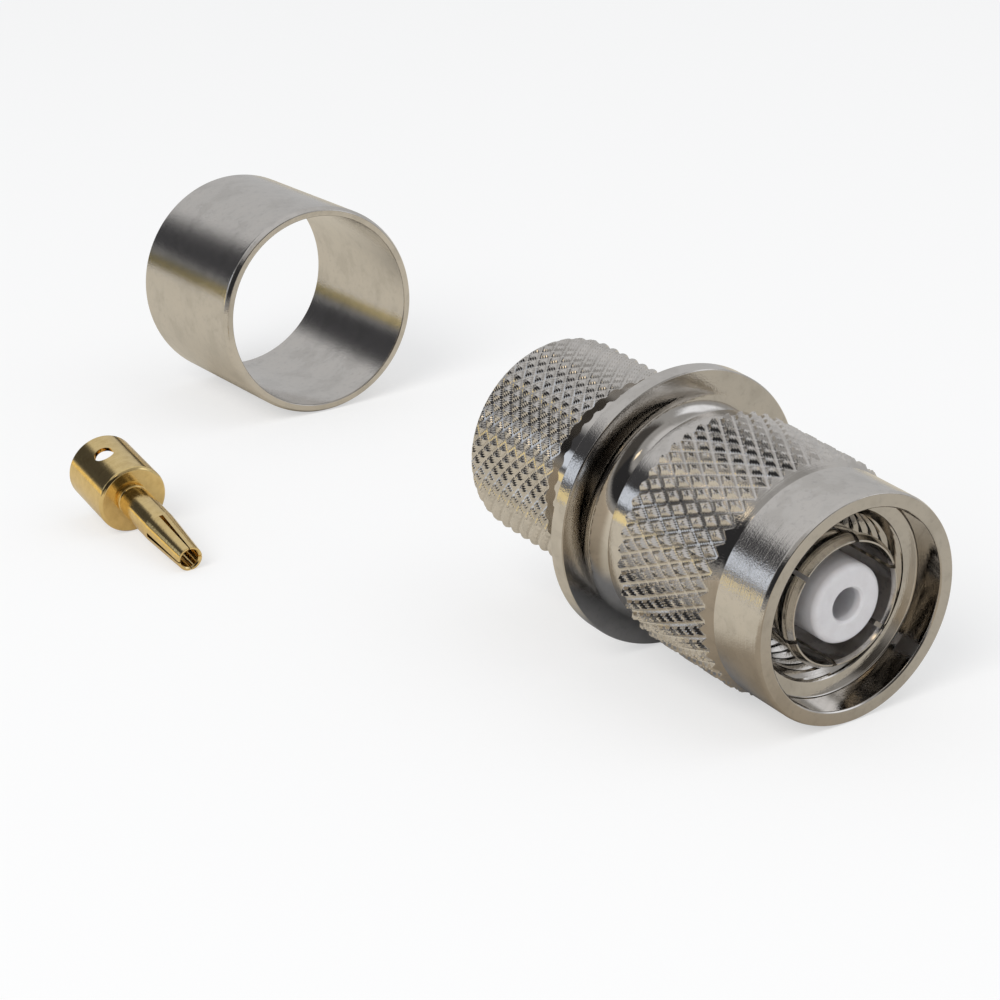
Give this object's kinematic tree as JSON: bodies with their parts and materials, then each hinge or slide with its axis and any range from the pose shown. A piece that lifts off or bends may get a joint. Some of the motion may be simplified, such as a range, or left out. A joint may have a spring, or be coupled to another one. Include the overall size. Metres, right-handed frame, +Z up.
{
  "type": "reverse polarity tnc crimp plug",
  "caption": "Threaded coaxial plug with a knurled coupling nut and crimp stem, laid out with its loose crimp ferrule and its loose gold centre contact.",
  "frame": {"origin": "on the surface the pieces lie on, under the middle of the box round the whole group", "axes": "+X the way the plug's nose points as seen from above, +Y to the left of that, +Z up"},
  "size_m": [0.0906, 0.0368, 0.0186],
  "materials": {
    "nickel": "bright nickel plate on brass",
    "spring_bronze": "plain spring bronze",
    "fluoropolymer": "machined white fluoropolymer",
    "silicone": "moulded silicone rubber",
    "gold": "gold plate on brass"
  },
  "bodies": {
    "plug": {"crimp_body": "nickel", "outer_contact": "nickel", "insulator": "fluoropolymer", "sealing_gasket": "silicone", "centre_contact": "gold", "crimp_ferrule": "nickel"},
    "ring": {"retaining_ring": "spring_bronze"},
    "nut": {"coupling_nut": "nickel"}
  },
  "joints": [
    {"name": "nut_float", "type": "slide", "parent": "plug", "child": "ring", "axis": [0.9943, 0, -0.1068], "range_m": [-0.0004, 0]},
    {"name": "nut_spin", "type": "hinge", "parent": "ring", "child": "nut", "pos_m": [0.03704, 0.00156, 0.00823], "axis": [0.9943, 0, -0.1068], "continuous": true}
  ]
}
